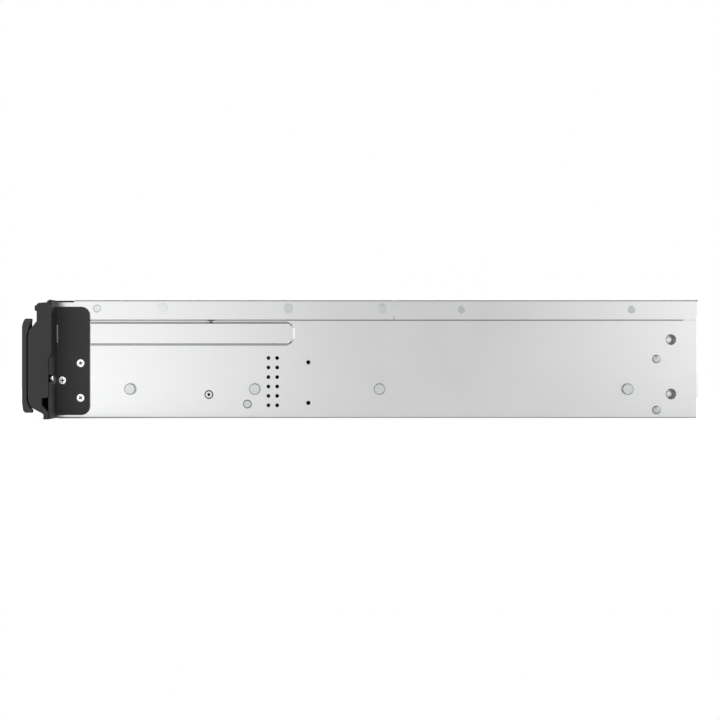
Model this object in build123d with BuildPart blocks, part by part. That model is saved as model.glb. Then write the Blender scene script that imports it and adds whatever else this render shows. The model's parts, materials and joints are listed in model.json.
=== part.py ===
from build123d import *
import math
import os

# ---------------------------------------------------------------- dimensions
# All in mm. X runs across the rack (right ear at +X), Y from the front (-Y)
# to the rear (+Y), Z up. "yf" is the distance behind the rack face.
Y_MID = 232.05          # rack face to the middle of the whole box
HW = 215.0              # half width of the chassis
H = 88.0                # height of the chassis with its covers
D = 475.4               # rack face to the rear panel
T = 1.2                 # sheet thickness
FLANGE_Z = 73.5         # lower edge of the cover flanges
LIP_Z0, LIP_Z1 = 86.4, 87.6   # lip of the front frame over the top cover
SEAM = 250.4            # seam between the two covers
EAR_X = 241.3           # outer face of the ears (482.6 over both)
GRIP_Y = -21.5          # front of the grips
RACK_HOLE_X = 232.55    # rack holes, 465.1 apart
BAY_PITCH = 106.0
TRAY_W = 104.2
TRAY_H = 26.6
ROW_Z = (1.9, 30.9)     # underside of the trays in the two rows
LEVER_PIVOT_X = -47.0   # from the tray's middle
LEVER_PIVOT_Y = -5.6
FAN_X = (-86.0, 0.0, 86.0)
FAN_Z = 43.6
FAN_Y0, FAN_Y1 = 199.0, 224.0
PSU_X0, PSU_X1 = -193.4, -120.0
PSU_Z = (2.8, 45.0)     # underside of the two power supplies
PSU_H = 39.4
PSU_Y0, PSU_Y1 = 290.0, 474.6
BOARD_Z = 7.2           # underside of the mainboard
SLOT_X = 182.4          # first expansion slot
STUD_Y = (54.3, 146.9, 239.6, 424.1)
STUD_Z = 21.8


def y(yf):
    return yf - Y_MID


def block(x0, x1, y0, y1, z0, z1, mode=Mode.ADD):
    with Locations(((x0 + x1) / 2, y((y0 + y1) / 2), (z0 + z1) / 2)):
        Box(x1 - x0, y1 - y0, z1 - z0, mode=mode)


def slots(xs, w, y0, y1, z0, z1, mode=Mode.SUBTRACT):
    with Locations(*[(x + w / 2, y((y0 + y1) / 2), (z0 + z1) / 2) for x in xs]):
        Box(w, y1 - y0, z1 - z0, mode=mode)


def holes_x(x0, x1, spots, r, mode=Mode.SUBTRACT):
    with Locations(*[((x0 + x1) / 2, y(yf), z) for yf, z in spots]):
        Cylinder(r, abs(x1 - x0), rotation=(0, 90, 0), mode=mode)


def rod_x(x0, x1, yf, z, r, mode=Mode.ADD):
    with Locations(((x0 + x1) / 2, y(yf), z)):
        Cylinder(r, abs(x1 - x0), rotation=(0, 90, 0), mode=mode)


def rod_y(x, y0, y1, z, r, mode=Mode.ADD):
    with Locations((x, y((y0 + y1) / 2), z)):
        Cylinder(r, abs(y1 - y0), rotation=(90, 0, 0), mode=mode)


def rod_z(x, yf, z0, z1, r, mode=Mode.ADD):
    with Locations((x, y(yf), (z0 + z1) / 2)):
        Cylinder(r, abs(z1 - z0), mode=mode)


pieces = []


def keep(piece, name):
    piece.part.label = name
    pieces.append(piece)


# ------------------------------------------------------------- chassis base
# Folded tub: floor and two side walls. The top of each wall is joggled in by
# the sheet's thickness, so that the cover flange lies flush outside it.
with BuildPart() as chassis_base:
    block(-HW, HW, 0, D, 0, T)
    block(-205, 205, -3.4, 0, 0, T)
    for s in (-1, 1):
        xo, xi = s * HW, s * (HW - T)
        block(min(xo, xi), max(xo, xi), 0, D, 0, 72.6)
        xa, xb = s * 212.4, s * 213.6
        block(min(xa, xb), max(xa, xb), 0, D, 71.4, 86.6)
        block(min(xa, xb), max(xa, xb), -0.5, 14.0, 84.9, 87.0, mode=Mode.SUBTRACT)
        block(min(xa, xo), max(xa, xo), 0, D, 71.4, 72.6)
    bottom_bends = (
        chassis_base.edges()
        .filter_by(Axis.Y)
        .filter_by(lambda e: abs(e.center().Z) < 0.01 and abs(abs(e.center().X) - HW) < 0.01)
    )
    fillet(bottom_bends, 1.1)
    for s in (-1, 1):
        # raised channel for the front panel's flat cable
        with BuildSketch(Plane.YZ.offset(s * (HW - 0.6))) as channel_out:
            with Locations((y((18.0 + 176.8) / 2), 63.1)):
                Rectangle(158.8, 17.0)
            corners = channel_out.vertices().group_by(Axis.X)[-1]
            chamfer(corners, 4.2)
        extrude(amount=s * 2.1, taper=28)
        xa, xb = s * 215.0, s * 217.5
        block(min(xa, xb), max(xa, xb), 16.0, 24.95, 53.0, 72.5, mode=Mode.SUBTRACT)
        xa, xb = s * 213.0, s * 215.4
        block(min(xa, xb), max(xa, xb), 26.4, 174.2, 55.9, 70.3, mode=Mode.SUBTRACT)
        # the channel opens behind the ear bracket
        xa, xb = s * 213.0, s * 216.0
        block(min(xa, xb), max(xa, xb), -1, 24.0, 55.9, 70.3, mode=Mode.SUBTRACT)
        xa, xb = s * 213.0, s * 214.8
        block(min(xa, xb), max(xa, xb), 23.9, 26.5, 55.9, 70.3, mode=Mode.SUBTRACT)
        # vent holes and single holes
        vent_rows = (44.9, 37.8, 30.7, 23.7, 16.7, 9.7)
        holes_x(s * 212, s * 217, [(yv, zv) for yv in (157.0, 163.5) for zv in vent_rows], 1.4)
        holes_x(s * 212, s * 217, [(186.7, 41.7), (186.7, 11.5)], 1.55)
        holes_x(s * 212, s * 217, [(456.5, 58.6), (456.5, 18.1)], 4.0)
        rod_x(s * 212, s * 217, 112.7, 17.7, 1.6, mode=Mode.SUBTRACT)
        # small notch under the cover flange
        with BuildSketch(Plane.YZ.offset(s * 215.0)):
            with BuildLine():
                Polyline(
                    (y(110.9), 73.2), (y(117.5), 73.2), (y(115.1), 70.6),
                    (y(113.3), 70.6), close=True,
                )
            make_face()
        extrude(amount=2.3, both=True, mode=Mode.SUBTRACT)
keep(chassis_base, "chassis_base")

# ---------------------------------------------------------------- top covers
with BuildPart() as front_top_cover:
    block(-HW, HW, 0.2, SEAM - 0.3, H - T, H)
    for s in (-1, 1):
        xa, xb = s * (HW - T), s * HW
        block(min(xa, xb), max(xa, xb), 0.2, SEAM - 0.3, FLANGE_Z, H)
    # stepped down beneath the front frame's lip
    block(-HW, HW, 0.2, 13.8, LIP_Z0 - 1.3, LIP_Z0 - 0.1)
    block(-220, 220, 0, 12.6, LIP_Z0 - 0.1, H + 1, mode=Mode.SUBTRACT)
    fillet(
        front_top_cover.edges().filter_by(Axis.Y).filter_by(
            lambda e: abs(e.center().Z - H) < 0.01 and abs(abs(e.center().X) - HW) < 0.01
        ),
        1.0,
    )
    for s in (-1, 1):
        for yv in (78.1, 171.9, 241.8):
            rod_x(s * 213, s * 216, yv, 81.7, 3.7, mode=Mode.SUBTRACT)
        rod_x(s * 213, s * 216, 29.4, 81.7, 2.9, mode=Mode.SUBTRACT)
keep(front_top_cover, "front_top_cover")

with BuildPart() as rear_top_cover:
    block(-HW, HW, SEAM + 0.3, 476.6, H - T, H)
    for s in (-1, 1):
        xa, xb = s * (HW - T), s * HW
        block(min(xa, xb), max(xa, xb), SEAM + 0.3, 475.2, FLANGE_Z, H)
    block(-212, 212, 475.6, 476.6, 76.0, H)
    block(-213.0, -108.0, 475.3, 476.7, 75.0, H - T, mode=Mode.SUBTRACT)
    fillet(
        rear_top_cover.edges().filter_by(Axis.Y).filter_by(
            lambda e: abs(e.center().Z - H) < 0.01 and abs(abs(e.center().X) - HW) < 0.01
        ),
        1.0,
    )
    for s in (-1, 1):
        for yv in (300.6, 427.1):
            rod_x(s * 213, s * 216, yv, 81.0, 2.8, mode=Mode.SUBTRACT)
        rod_y(s * 100, 475, 477, 80.5, 2.2, mode=Mode.SUBTRACT)
keep(rear_top_cover, "rear_top_cover")

# hook rivets in the flanges of the rear cover
with BuildPart() as cover_hook_rivets:
    for s in (-1, 1):
        for yv in (300.6, 427.1):
            rod_x(s * 213.85, s * 215.1, yv, 81.0, 2.8)
keep(cover_hook_rivets, "cover_hook_rivets")

# thumbscrews that hold the rear cover's lip
with BuildPart() as cover_thumbscrews:
    for s in (-1, 1):
        rod_y(s * 100, 476.65, 484.0, 80.5, 4.6)
        rod_y(s * 100, 475.7, 476.7, 80.5, 2.1)
        with Locations((s * 100, y(484.0), 80.5)):
            Box(1.2, 2.4, 7.0, mode=Mode.SUBTRACT)
            Box(7.0, 2.4, 1.2, mode=Mode.SUBTRACT)
keep(cover_thumbscrews, "cover_thumbscrews")

# --------------------------------------------------------------- rear panel
with BuildPart() as rear_panel:
    block(-212.2, 212.2, D - 1.2, D, 1.4, 86.4)
    # returns along the side walls
    block(-204.2, -203.0, 440.0, D - 1.0, 1.4, 71.0)
    block(203.0, 204.2, 440.0, D - 1.0, 1.4, 71.0)
    # power supplies
    block(PSU_X0 - 0.8, PSU_X1 + 0.6, D - 2, D + 1, 2.4, 84.8, mode=Mode.SUBTRACT)
    # four network ports, two USB ports
    block(-105.2, -39.0, D - 2, D + 1, 8.6, 22.8, mode=Mode.SUBTRACT)
    block(-31.2, -17.6, D - 2, D + 1, 8.6, 24.6, mode=Mode.SUBTRACT)
    # expansion slots
    slots([SLOT_X - 20.32 * i for i in range(4)], 13.6, D - 2, D + 1, 12.0, 72.0)
    # vents
    vent_x = [-101.0 + 18.4 * i for i in range(12)]
    slots(vent_x, 14.4, D - 2, D + 1, 34.0, 52.0)
    slots(vent_x, 14.4, D - 2, D + 1, 56.0, 74.0)
keep(rear_panel, "rear_panel")

# ---------------------------------------------------------------- front frame
FRAME_Y0 = -8.0
with BuildPart() as front_frame:
    block(-213.4, 213.4, FRAME_Y0, -0.1, 1.4, LIP_Z1)
    block(-213.4, 213.4, FRAME_Y0, 12.0, LIP_Z0, LIP_Z1)
    # the bays and the vent band over them
    block(-211.6, 211.6, FRAME_Y0 - 1, 1, 1.5, 58.2, mode=Mode.SUBTRACT)
    slots([-205.5 + 14.8 * i for i in range(28)], 11.0, FRAME_Y0 - 1, 1, 64.0, 82.0)
    # the strip under the bays is open to the floor's lip
    block(-213.4, 213.4, FRAME_Y0 - 1, 1, 0, 1.5, mode=Mode.SUBTRACT)
    chamfer(
        front_frame.edges().filter_by(Axis.X).filter_by(
            lambda e: abs(e.center().Z - LIP_Z1) < 0.01 and e.center().Y > y(11.9)
        ),
        0.7,
    )
keep(front_frame, "front_frame")

# ----------------------------------------------------------------- drive cage
# flat plates, spot welded at their edges
CAGE_Y0, CAGE_Y1 = 2.6, 153.0
with BuildPart() as drive_cage:
    block(-212.3, 212.3, CAGE_Y0, CAGE_Y1, 29.3, 30.3)
    block(-212.3, 212.3, CAGE_Y0, CAGE_Y1, 58.3, 59.3)
    for xd in (-211.9, -106.0, 0.0, 106.0, 211.9):
        block(xd - 0.4, xd + 0.4, CAGE_Y0, CAGE_Y1, T + 0.02, 29.28)
        block(xd - 0.4, xd + 0.4, CAGE_Y0, CAGE_Y1, 30.32, 58.28)
keep(drive_cage, "drive_cage")


# --------------------------------------------------------------- drive trays
def make_tray(cx, z0, name):
    with BuildPart() as tray:
        # bezel
        block(cx - 52.1, cx + 52.1, -8.0, 2.4, z0, z0 + TRAY_H)
        # side rails, floor with a window, rear crossbar
        block(cx - 52.1, cx - 51.1, 2.0, 158.0, z0, z0 + 20.0)
        block(cx + 51.1, cx + 52.1, 2.0, 158.0, z0, z0 + 20.0)
        block(cx - 52.1, cx + 52.1, 2.0, 158.0, z0, z0 + 1.0)
        block(cx - 38.0, cx + 38.0, 30.0, 140.0, z0 - 1, z0 + 2, mode=Mode.SUBTRACT)
        # recess of the lever
        block(cx - 51.0, cx + 44.2, -8.1, -4.4, z0 + 5.0, z0 + 21.6, mode=Mode.SUBTRACT)
        block(cx - 51.0, cx - 41.0, -8.1, -1.2, z0 + 5.0, z0 + 21.6, mode=Mode.SUBTRACT)
        # air slots above and below the lever
        slot_x = [cx - 44.0 + 10.0 * i for i in range(9)]
        slots(slot_x, 7.0, -9, 3, z0 + 22.6, z0 + 25.0)
        slots(slot_x, 7.0, -9, 3, z0 + 1.6, z0 + 4.0)
        # hinge pin of the lever
        rod_z(cx + LEVER_PIVOT_X, LEVER_PIVOT_Y, z0 + 4.6, z0 + 22.0, 1.1)
    keep(tray, name)


def make_lever(cx, z0, name):
    px = cx + LEVER_PIVOT_X
    with BuildPart() as lever:
        rod_z(px, LEVER_PIVOT_Y, z0 + 5.4, z0 + 21.2, 2.6)
        block(px, cx + 43.4, -8.4, -5.0, z0 + 5.4, z0 + 21.2)
        fillet(
            lever.edges().filter_by(Axis.Y).filter_by(
                lambda e: e.center().X > cx + 43.0
            ),
            2.5,
        )
        # finger notch at the free end and a row of air slots
        block(cx + 34.0, cx + 40.0, -9, -4, z0 + 10.3, z0 + 16.3, mode=Mode.SUBTRACT)
        slots([px + 12.0 + 10.0 * i for i in range(6)], 6.5, -9, -4, z0 + 11.5, z0 + 15.1)
        rod_z(px, LEVER_PIVOT_Y, z0 + 5, z0 + 22, 1.15, mode=Mode.SUBTRACT)
    keep(lever, name)


for n in range(8):
    row, col = divmod(n, 4)
    bay_x = (col - 1.5) * BAY_PITCH
    make_tray(bay_x, ROW_Z[1 - row], "tray_%d" % (n + 1))
    make_lever(bay_x, ROW_Z[1 - row], "tray_lever_%d" % (n + 1))

# ------------------------------------------------- backplane and connectors
with BuildPart() as backplane_board:
    block(-203.0, 203.0, 168.0, 169.6, 2.0, 57.8)
    for cx in (-159.0, -53.0, 53.0, 159.0):
        for zc in (14.0, 43.0):
            block(cx - 42.0, cx - 6.0, 167, 171, zc + 2.0, zc + 9.0, mode=Mode.SUBTRACT)
            block(cx + 20.0, cx + 44.0, 167, 171, zc - 5.0, zc + 9.0, mode=Mode.SUBTRACT)
keep(backplane_board, "backplane_board")

with BuildPart() as backplane_connectors:
    for cx in (-159.0, -53.0, 53.0, 159.0):
        for z0 in ROW_Z:
            block(cx - 30.0, cx + 12.0, 160.6, 168.0, z0 + 3.4, z0 + 8.6)
            block(cx - 28.0, cx + 10.0, 158.6, 160.6, z0 + 5.4, z0 + 6.8)
keep(backplane_connectors, "backplane_connectors")

# -------------------------------------------------------------------- fans
with BuildPart() as fan_wall:
    block(-203.0, 203.0, FAN_Y0 - 1.3, FAN_Y0 - 0.1, T + 0.1, 86.0)
    for fx in FAN_X:
        rod_y(fx, FAN_Y0 - 2, FAN_Y0 + 1, FAN_Z, 38.2, mode=Mode.SUBTRACT)
    for s in (-1, 1):
        for zz in (18.0, 42.0, 66.0):
            rod_y(s * 172, FAN_Y0 - 2, FAN_Y0 + 1, zz, 9.0, mode=Mode.SUBTRACT)
            rod_y(s * 148, FAN_Y0 - 2, FAN_Y0 + 1, zz, 6.0, mode=Mode.SUBTRACT)
keep(fan_wall, "fan_wall")

with BuildPart() as fan_frames:
    for fx in FAN_X:
        block(fx - 40, fx + 40, FAN_Y0, FAN_Y1, FAN_Z - 40, FAN_Z + 40)
        rod_y(fx, FAN_Y0 - 1, FAN_Y1 + 1, FAN_Z, 38.2, mode=Mode.SUBTRACT)
        # hub and spokes that carry the motor
        rod_y(fx, FAN_Y1 - 4.0, FAN_Y1, FAN_Z, 17.0)
        with Locations((fx, y(FAN_Y1 - 1.5), FAN_Z)):
            Box(78.0, 3.0, 3.0)
            Box(3.0, 3.0, 78.0)
        rod_y(fx, FAN_Y0 + 8.0, FAN_Y1, FAN_Z, 1.5)
        for sx in (-36, 36):
            for sz in (-36, 36):
                rod_y(fx + sx, FAN_Y0 - 1, FAN_Y1 + 1, FAN_Z + sz, 2.1, mode=Mode.SUBTRACT)
keep(fan_frames, "fan_frames")


def make_rotor(fx, fz, y0, y1, r_out, r_hub, blades, bore, name):
    # swept blades around a hub, all in one flat set so that they mould as one
    r0 = r_hub - 1.2
    with BuildPart() as rotor:
        rod_y(fx, y0, y1, fz, r_hub)
        with BuildSketch(Plane((fx, y(y0 + 1.0), fz), x_dir=(1, 0, 0), z_dir=(0, 1, 0))):
            for k in range(blades):
                turn = 2 * math.pi * k / blades

                def at(r, a):
                    return (r * math.cos(turn + a), r * math.sin(turn + a))

                with BuildLine():
                    ThreePointArc(at(r0, 0.0), at((r0 + r_out) / 2, 0.22), at(r_out, 0.30))
                    ThreePointArc(at(r_out, 0.30), at(r_out, 0.0), at(r_out, -0.28))
                    ThreePointArc(at(r_out, -0.28), at((r0 + r_out) / 2, -0.30), at(r0, -0.5))
                    Line(at(r0, -0.5), at(r0, 0.0))
                make_face()
        extrude(amount=2.4)
        rod_y(fx, y0 + 3, y1 + 1, fz, bore, mode=Mode.SUBTRACT)
    keep(rotor, name)


for n, fx in enumerate(FAN_X):
    make_rotor(fx, FAN_Z, FAN_Y0 + 2.0, FAN_Y1 - 4.6, 37.4, 16.5, 7, 1.56, "fan_rotor_%d" % (n + 1))

# ------------------------------------------------------------ power supplies
with BuildPart() as psu_cage:
    block(PSU_X0 - 2.0, PSU_X0 - 0.8, 286.0, 474.0, T + 0.1, 86.4)
    block(PSU_X1 + 0.8, PSU_X1 + 2.0, 286.0, 474.0, T + 0.1, 86.4)
    block(PSU_X0 - 1.0, PSU_X1 + 1.0, 286.0, 474.0, 43.0, 44.2)
keep(psu_cage, "psu_cage")


def make_psu(z0, tag):
    x0, x1 = PSU_X0, PSU_X1
    fan_x, fan_z = x0 + 50.2, z0 + 19.7
    with BuildPart() as housing:
        block(x0, x1, PSU_Y0, PSU_Y1, z0, z0 + PSU_H)
        block(x0 + 1.2, x1 - 1.2, PSU_Y0 - 1, 452.0, z0 + 1.2, z0 + PSU_H - 1.2, mode=Mode.SUBTRACT)
        rod_y(fan_x, 451.0, 475.0, fan_z, 16.7, mode=Mode.SUBTRACT)
        # inlet with its three blades
        block(x0 + 8.5, x0 + 33.0, 459.0, 475.0, z0 + 11.5, z0 + 28.0, mode=Mode.SUBTRACT)
        block(x0 + 13.0, x0 + 17.0, 458.5, 472.0, z0 + 16.2, z0 + 18.2)
        block(x0 + 24.5, x0 + 28.5, 458.5, 472.0, z0 + 16.2, z0 + 18.2)
        block(x0 + 18.75, x0 + 22.75, 458.5, 472.0, z0 + 21.6, z0 + 23.6)
        # fan spokes and shaft
        with Locations((fan_x, y(473.0), fan_z)):
            Box(34.0, 1.6, 1.6)
            Box(1.6, 1.6, 34.0)
        rod_y(fan_x, 459.4, 473.0, fan_z, 1.2)
        # pocket of the latch
        block(x1 - 5.0, x1 + 0.1, 462.0, 475.0, z0 + 25.0, z0 + 33.0, mode=Mode.SUBTRACT)
        # lugs and pins of the bail handle
        block(x0 + 2.6, x0 + 4.6, PSU_Y1 - 0.2, 479.6, z0 + 7.0, z0 + 12.0)
        block(x1 - 4.6, x1 - 2.6, PSU_Y1 - 0.2, 479.6, z0 + 7.0, z0 + 12.0)
        rod_x(x0 + 4.5, x0 + 7.6, 477.2, z0 + 9.5, 1.1)
        rod_x(x1 - 7.6, x1 - 4.5, 477.2, z0 + 9.5, 1.1)
    keep(housing, tag + "_housing")
    with BuildPart() as handle:
        for xa in (x0 + 4.9, x1 - 7.4):
            with BuildSketch(Plane.YZ.offset(xa)):
                with BuildLine():
                    Polyline(
                        (y(475.4), z0 + 8.0), (y(479.0), z0 + 8.0), (y(485.6), z0 + 14.0),
                        (y(485.6), z0 + 28.5), (y(481.0), z0 + 28.5), (y(481.0), z0 + 15.6),
                        (y(475.4), z0 + 11.6), close=True,
                    )
                make_face()
            extrude(amount=2.5)
        block(x0 + 4.9, x1 - 4.9, 481.0, 485.6, z0 + 23.0, z0 + 28.5)
        fillet(
            handle.edges().filter_by(Axis.X).filter_by(
                lambda e: e.center().Z > z0 + 22.5 and e.center().Y > y(485.0)
            ),
            1.6,
        )
        rod_x(x0 + 4.0, x0 + 8.0, 477.2, z0 + 9.5, 1.15, mode=Mode.SUBTRACT)
        rod_x(x1 - 8.0, x1 - 4.0, 477.2, z0 + 9.5, 1.15, mode=Mode.SUBTRACT)
    keep(handle, tag + "_handle")
    with BuildPart() as latch:
        block(x1 - 2.2, x1 - 0.2, 463.0, 482.0, z0 + 25.3, z0 + 32.7)
        block(x1 - 2.7, x1 - 0.2, 480.0, 482.0, z0 + 25.3, z0 + 32.7)
    keep(latch, tag + "_latch")
    make_rotor(fan_x, fan_z, 456.0, 468.0, 16.1, 8.0, 5, 1.26, tag + "_fan_rotor")


make_psu(PSU_Z[0], "psu_1")
make_psu(PSU_Z[1], "psu_2")

# ----------------------------------------------------------------- mainboard
with BuildPart() as mainboard:
    block(-108.0, 203.0, 262.0, 468.0, BOARD_Z, BOARD_Z + 1.6)
    # memory sockets, processor package, storage chip and power coils
    block(-14.4, -8.0, 308.0, 445.0, BOARD_Z + 1.6, 15.0)
    block(-26.4, -20.0, 308.0, 445.0, BOARD_Z + 1.6, 15.0)
    block(20.0, 62.0, 328.0, 370.0, BOARD_Z + 1.6, 12.0)
    block(112.0, 134.0, 300.0, 322.0, BOARD_Z + 1.6, 11.0)
    slots([14.0 + 12.0 * i for i in range(5)], 8.0, 290.0, 298.0, BOARD_Z + 1.6, 15.0, mode=Mode.ADD)
    slots([SLOT_X + 3.0 - 20.32 * i for i in (1, 3)], 7.5, 350.0, 440.0, BOARD_Z + 1.6, 19.0, mode=Mode.ADD)
keep(mainboard, "mainboard")

with BuildPart() as board_standoffs:
    for px in (-100.0, 48.0, 196.0):
        for py in (269.0, 365.0, 461.0):
            with BuildSketch(Plane.XY.offset(T)):
                with Locations((px, y(py))):
                    RegularPolygon(3.0, 6)
            extrude(amount=BOARD_Z - T)
keep(board_standoffs, "board_standoffs")

with BuildPart() as cpu_heatsink:
    block(8.0, 74.0, 312.0, 386.0, 12.0, 16.0)
    slots([8.0 + 3.605 * i for i in range(19)], 1.1, 312.0, 386.0, 16.0, 38.0, mode=Mode.ADD)
keep(cpu_heatsink, "cpu_heatsink")

with BuildPart() as memory_modules:
    for xm in (-11.8, -23.8):
        block(xm, xm + 1.2, 310.0, 443.0, 15.0, 41.0)
        for i in range(8):
            ya = 314.0 + 16.0 * i
            block(xm + 1.2, xm + 2.3, ya, ya + 11.0, 20.0, 35.0)
keep(memory_modules, "memory_modules")

with BuildPart() as rear_ports:
    for i in range(4):
        xa = -104.9 + 16.5 * i
        block(xa, xa + 16.0, 454.5, 476.0, BOARD_Z + 1.6, 22.6)
        block(xa + 2.1, xa + 13.9, 462.0, 477.0, 11.4, 19.4, mode=Mode.SUBTRACT)
        block(xa + 5.2, xa + 10.8, 462.0, 477.0, 10.2, 12.0, mode=Mode.SUBTRACT)
    block(-30.9, -17.9, 458.0, 476.0, BOARD_Z + 1.6, 24.4)
    for za in (10.4, 17.8):
        block(-30.4, -18.4, 462.0, 477.0, za, za + 5.2, mode=Mode.SUBTRACT)
        block(-29.6, -19.2, 461.5, 474.0, za + 3.2, za + 4.6)
keep(rear_ports, "rear_ports")

with BuildPart() as slot_covers:
    for i in range(4):
        xs = SLOT_X - 20.32 * i
        block(xs - 2.2, xs + 16.0, 472.9, 474.1, 9.0, 78.0)
        block(xs - 2.2, xs + 16.0, 461.5, 474.1, 78.0, 79.0)
        # the middle of each cover stands out through its slot
        block(xs + 0.8, xs + 12.8, 474.0, 480.8, 14.5, 71.0)
keep(slot_covers, "slot_covers")


# ---------------------------------------------------------------- rack ears
def make_ear(s, side):
    def sb(xa, xb, y0, y1, z0, z1, mode=Mode.ADD):
        block(min(s * xa, s * xb), max(s * xa, s * xb), y0, y1, z0, z1, mode=mode)

    def profile(xa, points, amount, mode=Mode.ADD, radius=None, picks=None):
        with BuildSketch(Plane.YZ.offset(s * xa)) as sk:
            with BuildLine():
                Polyline(*[(y(a), b) for a, b in points], close=True)
            make_face()
            if radius:
                fillet([v for v in sk.vertices() if picks(v)], radius)
        extrude(sk.sketch, amount=s * amount, mode=mode)

    with BuildPart() as bracket:
        profile(
            HW + 0.02, [(0, 2.5), (24.2, 2.5), (24.2, 83.0), (0, 83.0)], 1.8,
            radius=6.5, picks=lambda v: v.X > y(23.0),
        )
        sb(HW + 0.02, 239.8, -2.2, 0, 0.6, 87.4)
        # slot of the cable at the bend
        sb(HW - 1, 217.6, -2.4, 1.0, 54.9, 70.5, mode=Mode.SUBTRACT)
        # screw holes in the side plate
        for yv, zv in ((17.5, 41.1), (3.9, 28.3), (17.5, 15.3)):
            rod_x(s * 214, s * 218, yv, zv, 3.05, mode=Mode.SUBTRACT)
        # slot of the captive screw, open at the outer edge, and a round one
        sb(RACK_HOLE_X, 240.0, -2.4, 0.2, 27.45, 32.55, mode=Mode.SUBTRACT)
        rod_y(s * RACK_HOLE_X, -2.4, 0.2, 30.0, 2.55, mode=Mode.SUBTRACT)
        rod_y(s * RACK_HOLE_X, -2.4, 0.2, 76.0, 2.55, mode=Mode.SUBTRACT)
    keep(bracket, side + "_ear_bracket")

    front = [
        (-2.25, 85.6), (-9.3, 85.1), (-10.6, 83.9), (-10.6, 71.8), (-13.7, 67.8), (-16.2, 64.8),
        (-17.0, 61.0), (-17.0, 17.0), (-16.2, 12.0), (-13.7, 8.2), (-6.6, 4.4), (-5.7, 3.6),
        (-5.7, 0.02), (-2.25, 0.02),
    ]
    with BuildPart() as ear_housing:
        profile(217.2, front, EAR_X - 217.2)
        profile(239.9, [(-2.3, 85.6), (-2.3, 44.0), (-2.2, 44.0), (0, 49.0), (0, 83.2), (-1.2, 85.6)], EAR_X - 239.9)
        sb(218.7, 239.8, -15.6, -2.0, 18.6, 60.0, mode=Mode.SUBTRACT)
        sb(218.7, 239.8, -9.2, -2.0, 59.9, 83.8, mode=Mode.SUBTRACT)
        # notch behind the foot, cable opening towards the chassis
        profile(216.9, [(-7.1, 15.5), (-1.9, 16.3), (-1.9, 4.9), (-7.1, 10.6)], 26.0, mode=Mode.SUBTRACT)
        sb(217.0, 219.0, -3.7, -2.0, 56.0, 70.2, mode=Mode.SUBTRACT)
        # driver hole to the captive screw
        rod_y(s * RACK_HOLE_X, -18.0, -14.0, 30.0, 3.4, mode=Mode.SUBTRACT)
        if s > 0:
            with Locations((229.0, y(-9.9), 81.6)):
                Box(9.3, 3.0, 4.4, mode=Mode.SUBTRACT)
            for zl in (81.1, 77.6, 74.1):
                rod_y(221.8, -12.0, -8.0, zl, 0.95, mode=Mode.SUBTRACT)
    keep(ear_housing, side + "_ear_housing")

    with BuildPart() as grip:
        profile(
            218.4,
            [(-14.6, 73.6), (-19.0, 73.6), (-20.5, 71.0), (-21.5, 67.6), (-21.5, 13.0), (-20.4, 6.4),
             (-19.0, 4.9), (-13.9, 4.9), (-13.9, 7.4), (-15.0, 7.6), (-16.4, 9.0), (-18.0, 14.2),
             (-18.0, 61.0), (-15.9, 68.9), (-14.4, 71.9)],
            EAR_X - 218.4,
        )
        long_edges = grip.edges().filter_by(Axis.Z).filter_by(lambda e: e.center().Y < y(-21.0))
        fillet(long_edges, 1.2)
        # the hooked ends reach back only along the outer edge
        sb(218.0, 236.0, -18.0, -13.0, 64.0, 75.0, mode=Mode.SUBTRACT)
        sb(218.0, 236.0, -18.0, -13.0, 4.0, 13.0, mode=Mode.SUBTRACT)
        sb(222.0, 228.0, -18.2, -17.02, 20.0, 26.0)
        sb(222.0, 228.0, -18.2, -17.02, 50.0, 56.0)
        rod_y(s * RACK_HOLE_X, -22.0, -17.0, 30.0, 3.4, mode=Mode.SUBTRACT)
    keep(grip, side + "_grip")

    with BuildPart() as rack_screw:
        rod_y(s * RACK_HOLE_X, -15.2, -9.2, 30.0, 4.2)
        rod_y(s * RACK_HOLE_X, -9.3, -0.1, 30.0, 2.45)
        with Locations((s * RACK_HOLE_X, y(-15.2), 30.0)):
            Box(1.0, 3.0, 5.6, mode=Mode.SUBTRACT)
            Box(5.6, 3.0, 1.0, mode=Mode.SUBTRACT)
    keep(rack_screw, side + "_rack_screw")


make_ear(1, "right")
make_ear(-1, "left")

# power button, a pill that sinks into the ear's front
with BuildPart() as power_button:
    with BuildSketch(Plane((229.0, y(-13.6), 81.6), x_dir=(1, 0, 0), z_dir=(0, 1, 0))):
        SlotOverall(9.0, 4.2)
    extrude(amount=5.9)
    fillet(power_button.edges().group_by(Axis.Y)[0], 0.4)
keep(power_button, "power_button")

with BuildPart() as indicator_lenses:
    for zl in (81.1, 77.6, 74.1):
        rod_y(221.8, -10.9, -8.8, zl, 0.93)
keep(indicator_lenses, "indicator_lenses")

# ------------------------------------------------- fasteners and wall fittings
with BuildPart() as flat_head_screws:
    for s in (-1, 1):
        for yv, zv in ((17.5, 41.1), (3.9, 28.3), (17.5, 15.3)):
            rod_x(s * 215.04, s * 216.8, yv, zv, 3.0)
            with Locations((s * 216.8, y(yv), zv)):
                Box(1.6, 3.4, 0.75, rotation=(28, 0, 0), mode=Mode.SUBTRACT)
                Box(1.6, 0.75, 3.4, rotation=(28, 0, 0), mode=Mode.SUBTRACT)
        rod_x(s * 213.85, s * 215.02, 29.4, 81.7, 2.9)
        with Locations((s * 215.02, y(29.4), 81.7)):
            Box(1.2, 3.2, 0.7, mode=Mode.SUBTRACT)
            Box(1.2, 0.7, 3.2, mode=Mode.SUBTRACT)
keep(flat_head_screws, "flat_head_screws")

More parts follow.
